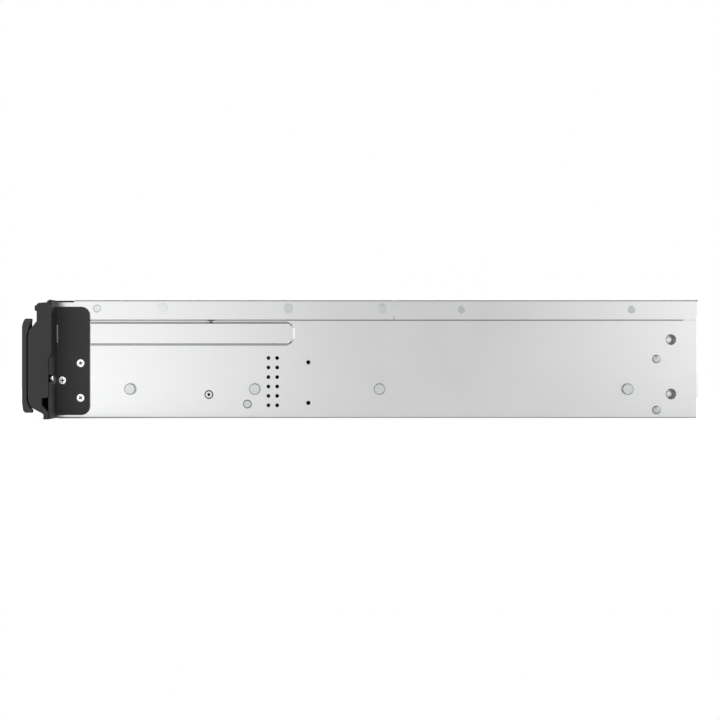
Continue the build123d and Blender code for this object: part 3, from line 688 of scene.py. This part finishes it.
def dark(name, color, metallic=1.0, rough=0.4):
    M[name] = material(name, color, metallic, rough, var=0.05, var_scale=300.0, edge=0.0, bump=0.02)


# painted shade: the three rim materials are dark rings on the edges of the studs, rivets, insert and screw heads, and
# the black one fills the inside of the insert's hole and the screws' cross recesses
dark("rim", (0.20, 0.215, 0.21), 1.0, 0.42)
dark("rim_soft_shade", (0.42, 0.44, 0.43), 1.0, 0.38)
dark("void_shade", (0.004, 0.004, 0.004), 0.0, 0.9)
M["clinch"] = material("clinch_zinc", (0.69, 0.72, 0.71), 1.0, 0.25, var=0.02, var_scale=160.0, edge=0.0)
M["clinch_faint"] = material("clinch_zinc_faint", (0.79, 0.81, 0.805), 1.0, 0.24, var=0.015, var_scale=160.0, edge=0.0)
dark("rim_deep_shade", (0.085, 0.09, 0.088), 1.0, 0.45)
dark("hook", (0.58, 0.61, 0.60), 1.0, 0.3)
dark("dome", (0.68, 0.70, 0.695), 1.0, 0.49)
M["bright"] = material("bright_nickel", (0.97, 0.97, 0.965), 1.0, 0.20, var=0.015, var_scale=200.0, edge=0.0002, bump=0.02)
dress("slot_covers", "bright")

# ------------------------------------------------ fittings of the side walls
STUD_Y = (54.3, 146.9, 239.6, 424.1)
studs, rivets, hooks, screws, crosses = [], [], [], [], []
for s in (-1, 1):
    for yv in STUD_Y:
        studs.append((lathe([(0, s * 215.03), (2.6, s * 215.03), (2.6, s * 217.2), (3.8, s * 217.2), (4.1, s * 217.4),
                             (4.1, s * 218.55), (3.72, s * 218.8), (0, s * 218.8)], "x", yv, 21.8, 48), "stud"))
        # painted shade: a dark ring on the edge of each stud's head
        studs.append((lathe([(3.66, s * 218.79), (3.74, s * 218.83), (4.10, s * 218.6), (4.13, s * 218.5), (3.9, s * 218.45),
                             (3.66, s * 218.79)], "x", yv, 21.8, 48), "rim"))
    for yv, key in ((78.1, "clinch_faint"), (171.9, "clinch"), (241.8, "clinch")):
        rivets.append((lathe([(0, s * 213.86), (3.68, s * 213.86), (3.68, s * 215.01), (3.6, s * 215.03), (3.4, s * 215.03), (0, s * 215.03)], "x", yv, 81.7, 40), key))
    # low rivet and hollow insert, with dark rings of painted shade round their edges and a black disc of painted shade
    # in the insert's hole
    rivets.append((lathe([(0, s * 215.02), (3.1, s * 215.02), (3.1, s * 215.45), (2.75, s * 215.6), (0, s * 215.6)], "x", 141.4, 10.6, 40), "clinch"))
    rivets.append((lathe([(2.5, s * 215.61), (2.6, s * 215.67), (3.1, s * 215.56), (3.26, s * 215.03), (2.8, s * 215.2), (2.5, s * 215.61)], "x", 141.4, 10.6, 40), "rim"))
    rivets.append((lathe([(1.1, s * 215.02), (3.1, s * 215.02), (3.1, s * 215.45), (2.75, s * 215.6), (1.3, s * 215.6), (1.1, s * 215.5),
                          (1.1, s * 215.02)], "x", 112.7, 17.7, 40), "zinc"))
    rivets.append((lathe([(2.4, s * 215.61), (2.5, s * 215.67), (3.1, s * 215.56), (3.3, s * 215.03), (2.8, s * 215.2), (2.4, s * 215.61)], "x", 112.7, 17.7, 40), "rim_deep_shade"))
    rivets.append((lathe([(0, s * 214.6), (1.12, s * 214.6), (1.12, s * 215.1), (0, s * 215.1)], "x", 112.7, 17.7, 24), "void_shade"))
    # round-headed rivets near the rear, with a dark ring of painted shade on each head's shoulder
    for zv in (44.1, 6.2):
        rivets.append((lathe([(0, s * 215.02), (3.1, s * 215.02), (3.1, s * 215.5), (2.75, s * 216.1), (2.1, s * 216.5), (1.1, s * 216.68), (0, s * 216.7)],
                             "x", 445.7, zv, 40), "dome"))
        rivets.append((lathe([(2.6, s * 216.2), (2.72, s * 216.22), (3.12, s * 215.6), (3.13, s * 215.2), (2.6, s * 216.2)], "x", 445.7, zv, 40), "rim"))
    for zv in (58.6, 18.1):
        rivets.append((lathe([(0, s * 204.24), (2.3, s * 204.24), (2.3, s * 205.0), (1.9, s * 205.4), (0, s * 205.4)], "x", 456.5, zv, 32), "screw"))
        # sleeve around the recessed screw, from the return to the wall
        rivets.append((lathe([(2.75, s * 204.3), (3.95, s * 213.75), (4.3, s * 213.75), (3.1, s * 204.3), (2.75, s * 204.3)], "x", 456.5, zv, 40), "dome"))
    for yv in (300.6, 427.1):
        hooks.append((lathe([(0, s * 213.86), (2.78, s * 213.86), (2.78, s * 215.0), (2.65, s * 215.1), (0, s * 215.1)], "x", yv, 81.0, 36), "hook"))
    # flat-head screws of the bracket, with black painted shade at the bottom of each cross recess
    for yv, zv, t in ((17.5, 41.1, 0.35), (3.9, 28.3, 0.1), (17.5, 15.3, 0.6)):
        b = lathe([(0, s * 215.05), (1.9, s * 215.05), (2.86, s * 216.62), (2.74, s * 216.8), (0, s * 216.8)], "x", yv, zv, 48)
        o = obj_of(b)
        cut(o, prism(cross(yv, zv, 1.62, 0.40, t), "x", s * 215.9, s * 217.5))
        screws.append((bm_of(o), "bright"))
        screws.append((prism(cross(yv, zv, 1.6, 0.38, t), "x", s * 215.6, s * 215.95), "void_shade"))
    b = lathe([(0, s * 213.9), (2.86, s * 213.9), (2.86, s * 214.9), (2.74, s * 215.0), (0, s * 215.0)], "x", 29.4, 81.7, 40)
    o = obj_of(b)
    cut(o, prism(cross(29.4, 81.7, 1.45, 0.30, 0.2), "x", s * 214.5, s * 215.5))
    screws.append((bm_of(o), "clinch_faint"))
    # painted shade: a darker ring round the edge of the screw head
    screws.append((lathe([(2.2, s * 215.0), (2.3, s * 215.02), (2.86, s * 214.98), (2.87, s * 214.8), (2.2, s * 215.0)], "x", 29.4, 81.7, 40), "rim_soft_shade"))
shade(join_parts("rail_studs_piece", studs, "chassis", ("rail_studs",)), 20)
shade(join_parts("wall_rivets_piece", rivets, "chassis", ("wall_rivets",)), 20)
shade(join_parts("cover_hook_rivets_piece", hooks, NODES["cover_hook_rivets"]["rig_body"], ("cover_hook_rivets",)), 20)
shade(join_parts("flat_head_screws_piece", screws, "chassis", ("flat_head_screws",)), 20)

# ------------------------------------------------------------------ rack ears
for side, s in (("right", 1), ("left", -1)):
    for node, w in ((side + "_ear_bracket", 0.35), (side + "_ear_housing", 0.45), (side + "_grip", 0.7)):
        weigh(bevelled(node, w, 3))
    # captive screw with a knurled head
    c = bmesh.new()
    n = 36
    x = s * 232.55
    body = NODES[side + "_rack_screw"]["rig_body"]
    prof = []
    for k in range(n * 2):
        a = math.pi * k / n
        r = 4.2 if k % 2 == 0 else 3.95
        prof.append((x + r * math.cos(a), 30.0 + r * math.sin(a)))
    o = obj_of(prism(prof, "y", -15.2, -10.4))
    cut(o, prism(cross(x, 30.0, 2.6, 0.5, 0.0), "y", -15.6, -13.4))
    parts = [(bm_of(o), "screw"),
             (lathe([(0, -10.4), (3.7, -10.4), (3.7, -9.2), (0, -9.2)], "y", x, 30.0, 40), "screw"),
             (lathe([(0, -9.3), (2.45, -9.3), (2.45, -0.6), (2.0, -0.1), (0, -0.1)], "y", x, 30.0, 40), "screw")]
    shade(join_parts(side + "_rack_screw_piece", parts, body, (side + "_rack_screw",)), 30)
weigh(bevelled("power_button", 0.5, 3))

# -------------------------------------------------------- thumbscrews at rear
parts = []
for s in (-1, 1):
    x = s * 100.0
    prof = []
    for k in range(72):
        a = math.pi * k / 36
        r = 4.6 if k % 2 == 0 else 4.35
        prof.append((x + r * math.cos(a), 80.5 + r * math.sin(a)))
    o = obj_of(prism(prof, "y", 477.4, 483.4))
    parts.append((bm_of(o), "screw"))
    o = obj_of(lathe([(0, 483.3), (4.35, 483.3), (4.0, 484.0), (0, 484.0)], "y", x, 80.5, 40))
    cut(o, prism(cross(x, 80.5, 3.4, 0.5), "y", 483.0, 484.6))
    parts.append((bm_of(o), "screw"))
    parts.append((lathe([(0, 476.66), (3.4, 476.66), (3.4, 477.5), (0, 477.5)], "y", x, 80.5, 32), "screw"))
    parts.append((lathe([(0, 475.7), (2.1, 475.7), (2.1, 476.7), (0, 476.7)], "y", x, 80.5, 24), "screw"))
shade(join_parts("cover_thumbscrews_piece", parts, NODES["cover_thumbscrews"]["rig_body"], ("cover_thumbscrews",)), 30)

# --------------------------------------------------- front: levers and trays
M["release"] = material("release_tab", (0.03, 0.22, 0.20), 0.0, 0.36, var=0.06, var_scale=200.0, edge=0.0003)
M["led_green"] = material("lens_green", (0.10, 0.55, 0.22), 0.0, 0.18, var=0.05, var_scale=400.0, edge=0.0002, coat=0.4)
M["led_amber"] = material("lens_amber", (0.75, 0.42, 0.08), 0.0, 0.18, var=0.05, var_scale=400.0, edge=0.0002, coat=0.4)
M["mesh_black"] = material("black_mesh", (0.018, 0.018, 0.020), 0.0, 0.5, var=0.05, edge=0.0)
M["chip"] = material("chip_epoxy", (0.018, 0.018, 0.020), 0.0, 0.42, var=0.15, var_scale=300.0, edge=0.0002)
M["cap_top"] = material("capacitor_can", (0.78, 0.79, 0.80), 1.0, 0.28, var=0.05, edge=0.0002)
M["coil"] = material("coil_ferrite", (0.11, 0.11, 0.115), 0.1, 0.5, var=0.1, edge=0.0003)
M["sleeve"] = material("socket_moulding", (0.62, 0.64, 0.62), 0.0, 0.4, var=0.05, edge=0.0002)

TRAYS = {}
for n in range(8):
    row, col = divmod(n, 4)
    TRAYS[n + 1] = ((col - 1.5) * 106.0, (1.9, 30.9)[1 - row])


def lever_parts():
    """Lever of a tray at centre 0, height 0."""
    o = obj_of(prism(round_poly([(-45.6, 5.4), (43.4, 5.4), (43.4, 21.2), (-45.6, 21.2)], [0.3, 2.6, 2.6, 0.3], 5), "y", -8.0, -5.0))
    cutters = prism(rect(-38.0, 28.5, 8.3, 18.3, 1.5), "y", -9.0, -4.0)
    prism(rect(33.9, 40.1, 10.2, 16.4, 1.0), "y", -9.0, -4.0, cutters)
    cut(o, cutters)
    m = o.modifiers.new("edge", "BEVEL")
    m.width = 0.00035
    m.segments = 2
    m.limit_method = "ANGLE"
    m.angle_limit = math.radians(40)
    dg = bpy.context.evaluated_depsgraph_get()
    me = bpy.data.meshes.new_from_object(o.evaluated_get(dg))
    bm = bmesh.new()
    bm.from_mesh(me)
    bpy.data.meshes.remove(me)
    old = o.data
    bpy.data.objects.remove(o)
    bpy.data.meshes.remove(old)
    parts = [(bm, "lever")]
    # raised rim round the window, ribs at the finger end
    o = obj_of(prism(rect(-39.2, 29.7, 7.1, 19.5, 2.2), "y", -8.4, -7.9))
    cut(o, prism(rect(-38.0, 28.5, 8.3, 18.3, 1.5), "y", -9.0, -4.0))
    parts.append((bm_of(o), "lever"))
    ribs = bmesh.new()
    for k in range(3):
        prism(rect(31.2 + k * 0.9 - 0.25, 31.2 + k * 0.9 + 0.2, 8.0, 18.6), "y", -8.35, -7.9, ribs)
    for k in range(2):
        prism(rect(41.1 + k * 0.9 - 0.2, 41.1 + k * 0.9 + 0.2, 8.4, 18.2), "y", -8.35, -7.9, ribs)
    parts.append((ribs, "lever"))
    parts.append((hexsheet("y", -38.4, 28.9, 7.9, 18.7, -7.0, -6.2, 3.3, 1.38), "mesh_black"))
    parts.append((lathe([(1.2, 5.4), (2.3, 5.4), (2.6, 5.7), (2.6, 20.9), (2.3, 21.2), (1.2, 21.2), (1.2, 5.4)], "z", -47.0, -5.6, 28), "lever"))
    return parts


def move(bm, cx, z0):
    bmesh.ops.translate(bm, vec=Vector((cx * 0.001, 0, z0 * 0.001)), verts=bm.verts)
    return bm


base = []
for bm, key in lever_parts():
    me = bpy.data.meshes.new("lever_base")
    bmesh.ops.recalc_face_normals(bm, faces=bm.faces)
    bm.to_mesh(me)
    bm.free()
    base.append((me, key))
for n, (cx, z0) in TRAYS.items():
    parts = []
    for me, key in base:
        bm = bmesh.new()
        bm.from_mesh(me)
        parts.append((move(bm, cx, z0), key))
    shade(join_parts("tray_%d_lever_piece" % n, parts, "tray_%d_lever_body" % n, ("tray_lever_%d" % n,)), 30)
    parts = [(prism(rect(cx + 34.6, cx + 39.4, z0 + 10.9, z0 + 15.7, 0.8), "y", -4.9, -4.2), "release")]
    parts.append((lathe([(0, -8.15), (0.8, -8.15), (1.05, -8.0), (1.05, -7.0), (0, -7.0)], "y", cx + 48.0, z0 + 18.6, 20), "led_green"))
    parts.append((lathe([(0, -8.15), (0.8, -8.15), (1.05, -8.0), (1.05, -7.0), (0, -7.0)], "y", cx + 48.0, z0 + 14.6, 20), "led_amber"))
    shade(join_parts("tray_%d_lights" % n, parts, "tray_%d_slide_body" % n), 30)
for me, key in base:
    bpy.data.meshes.remove(me)

# ---------------------------------------------- perforated sheets at the vents
add("front_vent_mesh", hexsheet("y", -207.0, 207.0, 62.6, 83.4, -3.6, -3.1, 4.2, 1.75), "mesh_black", "chassis")
add("rear_vent_mesh", hexsheet("y", -110.5, 117.0, 32.8, 75.4, 473.2, 474.1, 4.4, 1.8), "zinc_in", "chassis")

# -------------------------------------------------------------------- fans


def rotor_mesh(fx, fz, y0, y1, r_out, r_hub, blades, sweep=0.62, thick=1.2):
    bm = bmesh.new()
    lathe([(0, y0 + 0.2), (r_hub - 1.2, y0 + 0.2), (r_hub, y0 + 1.4), (r_hub, y1 - 0.2), (r_hub - 1.5, y1 - 0.2),
           (r_hub - 1.5, y0 + 4.0), (2.6, y0 + 4.0)], "y", fx, fz, 48, bm)
    nr, nc = 6, 8
    mid = (y0 + y1) / 2
    half = (y1 - y0) / 2 - 1.6
    for k in range(blades):
        turn = 2 * math.pi * k / blades
        grids = []
        for side in (-0.5, 0.5):
            g = []
            for i in range(nr + 1):
                t = i / nr
                r = r_hub - 0.6 + (r_out - r_hub + 0.4) * t
                line = []
                for j in range(nc + 1):
                    c = j / nc * 2 - 1
                    a = turn + c * sweep * 0.5 * (1.0 - 0.08 * t) + 0.34 * t * t
                    yy = mid + half * (c * (0.97 - 0.30 * t) + 0.16 * (1 - c * c)) + side * thick * (1.0 - 0.55 * c * c)
                    line.append(bm.verts.new(P(fx + r * math.cos(a), yy, fz + r * math.sin(a))))
                g.append(line)
            grids.append(g)
        lo, hi = grids
        for i in range(nr):
            for j in range(nc):
                bm.faces.new((lo[i][j], lo[i][j + 1], lo[i + 1][j + 1], lo[i + 1][j]))
                bm.faces.new((hi[i][j], hi[i + 1][j], hi[i + 1][j + 1], hi[i][j + 1]))
        for i in range(nr):
            for j in (0, nc):
                bm.faces.new((lo[i][j], lo[i + 1][j], hi[i + 1][j], hi[i][j]))
        for j in range(nc):
            for i in (0, nr):
                bm.faces.new((lo[i][j], lo[i][j + 1], hi[i][j + 1], hi[i][j]))
    return bm


for n, fx in enumerate((-86, 0, 86)):
    o = add("fan_%d_rotor_piece" % (n + 1), rotor_mesh(fx, 43.6, 201.0, 219.4, 37.3, 16.5, 7), "fan",
            NODES["fan_rotor_%d" % (n + 1)]["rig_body"], ("fan_rotor_%d" % (n + 1),))
    shade(o, 40)

# ------------------------------------------------------------ power supplies
PX0, PX1 = -193.4, -120.0
for n, z0 in ((1, 2.8), (2, 45.0)):
    body = NODES["psu_%d_housing" % n]["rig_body"]
    fx, fz = PX0 + 50.2, z0 + 19.7
    o = add("psu_%d_rotor_piece" % n, rotor_mesh(fx, fz, 456.0, 468.0, 16.0, 8.0, 5, 0.8, 0.8), "fan",
            NODES["psu_%d_fan_rotor" % n]["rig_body"], ("psu_%d_fan_rotor" % n,))
    shade(o, 40)
    parts = []
    for r in (4.0, 7.0, 10.0, 13.0, 15.9):
        parts.append((lathe([(r - 0.35, 473.9), (r, 473.6), (r + 0.35, 473.9), (r + 0.35, 474.2), (r, 474.5), (r - 0.35, 474.2), (r - 0.35, 473.9)],
                            "y", fx, fz, 48), "screw"))
    # liner of the inlet
    o = obj_of(prism(rect(PX0 + 8.4, PX0 + 33.1, z0 + 11.4, z0 + 28.1, 1.6), "y", 459.4, 474.95))
    inner = round_poly([(PX0 + 10.2, z0 + 13.2), (PX0 + 31.3, z0 + 13.2), (PX0 + 31.3, z0 + 22.8), (PX0 + 27.4, z0 + 26.4),
                        (PX0 + 14.1, z0 + 26.4), (PX0 + 10.2, z0 + 22.8)], 1.0)
    cut(o, prism(inner, "y", 459.8, 476.0))
    parts.append((bm_of(o), "conn"))
    parts.append((prism(rect(PX0 + 13.0, PX0 + 17.0, z0 + 16.2, z0 + 18.2, 0.3), "y", 459.5, 472.4), "gold"))
    parts.append((prism(rect(PX0 + 24.5, PX0 + 28.5, z0 + 16.2, z0 + 18.2, 0.3), "y", 459.5, 472.4), "gold"))
    parts.append((prism(rect(PX0 + 18.75, PX0 + 22.75, z0 + 21.6, z0 + 23.6, 0.3), "y", 459.5, 472.4), "gold"))
    parts.append((lathe([(0, 474.2), (1.2, 474.2), (1.2, 474.8), (0.9, 475.0), (0, 475.0)], "y", PX0 + 28.0, z0 + 33.6, 24), "led_green"))
    shade(join_parts("psu_%d_rear_fittings" % n, parts, body), 30)
    for node, w in (("psu_%d_handle" % n, 0.6), ("psu_%d_latch" % n, 0.4)):
        weigh(bevelled(node, w, 3))

# ------------------------------------------------------------- rear sockets
parts = []
for i in range(4):
    xa = -104.9 + 16.5 * i
    pins = bmesh.new()
    for k in range(8):
        xk = xa + 4.5 + k * 1.02
        prism(rect(xk - 0.2, xk + 0.2, 18.1, 18.7), "y", 463.0, 473.5, pins)
    parts.append((pins, "gold"))
    parts.append((prism(rect(xa + 2.3, xa + 4.9, 20.2, 21.5, 0.3), "y", 475.6, 476.08), "led_green"))
    parts.append((prism(rect(xa + 11.1, xa + 13.7, 20.2, 21.5, 0.3), "y", 475.6, 476.08), "led_amber"))
    o = obj_of(prism(rect(xa + 1.5, xa + 14.5, 10.0, 20.0, 0.4), "y", 462.1, 475.9))
    tool = prism(rect(xa + 2.2, xa + 13.8, 11.5, 19.3, 0.2), "y", 462.6, 477.0)
    prism(rect(xa + 5.3, xa + 10.7, 10.3, 11.9, 0.1), "y", 462.6, 477.0, tool)
    cut(o, tool)
    parts.append((bm_of(o), "conn"))
shade(join_parts("network_socket_fittings", parts, "chassis"), 30)

# ------------------------------------------------- small parts of the board
rng = random.Random(11)
TOP_Z = 8.82
chips, cans, tops, coils, gold, small, socket = (bmesh.new() for _ in range(7))


def box(bm, x0, x1, y0, y1, z0, z1, r=0.0):
    return prism(rect(x0, x1, y0, y1, r), "z", z0, z1, bm)


for x0, y0, w, d, h in ((112.5, 300.5, 21.0, 21.0, 1.0), (150.0, 300.0, 16.0, 16.0, 1.6), (-90.0, 410.0, 17.0, 17.0, 1.8), (-62.0, 412.0, 14.0, 14.0, 1.4),
                        (-92.0, 300.0, 20.0, 12.0, 2.4), (-60.0, 286.0, 8.0, 18.0, 2.2), (90.0, 420.0, 12.0, 12.0, 1.2), (150.0, 410.0, 8.0, 8.0, 1.2),
                        (-48.0, 330.0, 10.0, 6.0, 1.6), (-94.0, 340.0, 9.0, 9.0, 1.2), (30.0, 410.0, 12.0, 8.0, 1.4), (176.0, 290.0, 14.0, 9.0, 1.8)):
    zb = 11.02 if (x0, y0) == (112.5, 300.5) else TOP_Z
    box(chips, x0, x0 + w, y0, y0 + d, zb, zb + h, 0.4)
for k in range(14):
    cx, cy = (-2.0 + 6.4 * k, 303.6) if k < 12 else (80.0, 330.0 + 12 * (k - 12))
    lathe([(0, TOP_Z), (2.6, TOP_Z), (2.6, TOP_Z + 6.6), (2.2, TOP_Z + 7.2), (0, TOP_Z + 7.2)], "z", cx, cy, 24, cans)
for k in range(9):
    cx, cy = -96.0 + 9.0 * (k % 5), 372.0 + 10.0 * (k // 5)
    lathe([(0, TOP_Z), (3.6, TOP_Z), (3.6, TOP_Z + 9.2), (3.1, TOP_Z + 10.0), (0, TOP_Z + 10.0)], "z", cx, cy, 24, cans)
    lathe([(0, TOP_Z + 10.0), (3.0, TOP_Z + 10.0), (3.0, TOP_Z + 10.05), (0, TOP_Z + 10.05)], "z", cx, cy, 24, tops)
for k in range(5):
    xk = 14.0 + 12.0 * k
    box(coils, xk - 3.9, xk + 3.9, 290.1, 297.9, 15.02, 15.5, 1.0)
lathe([(0, TOP_Z), (10.0, TOP_Z), (10.0, TOP_Z + 2.6), (9.6, TOP_Z + 3.0), (0, TOP_Z + 3.0)], "z", 184.0, 330.0, 40, tops)
box(socket, -100.0, -62.0, 266.0, 271.0, TOP_Z, TOP_Z + 9.0, 0.4)
box(socket, 100.0, 122.0, 266.0, 271.0, TOP_Z, TOP_Z + 8.0, 0.4)
box(socket, -56.0, -34.0, 266.0, 274.0, TOP_Z, TOP_Z + 9.0, 0.4)
used = [(2, 78, 286, 392), (-30, -4, 304, 448), (-106, -16, 448, 470), (108, 138, 296, 326), (146, 170, 296, 320), (-98, -40, 282, 420), (170, 200, 280, 345)]
count = 0
while count < 260:
    x, yy = rng.uniform(-104, 200), rng.uniform(276, 462)
    if any(a < x < b and c < yy < d for a, b, c, d in used) or any(abs(x - (185.4 - 20.32 * i)) < 6 and yy > 345 for i in (1, 3)):
        continue
    w, d = ((1.6, 0.8) if rng.random() < 0.5 else (0.8, 1.6))
    box(small if rng.random() < 0.6 else chips, x - w, x + w, yy - d, yy + d, TOP_Z, TOP_Z + rng.uniform(0.6, 1.3))
    count += 1
parts = [(chips, "chip"), (cans, "coil"), (tops, "cap_top"), (coils, "coil"), (small, "sleeve"), (socket, "sleeve")]
gold.free()
shade(join_parts("board_small_parts", parts, "chassis"), 30)
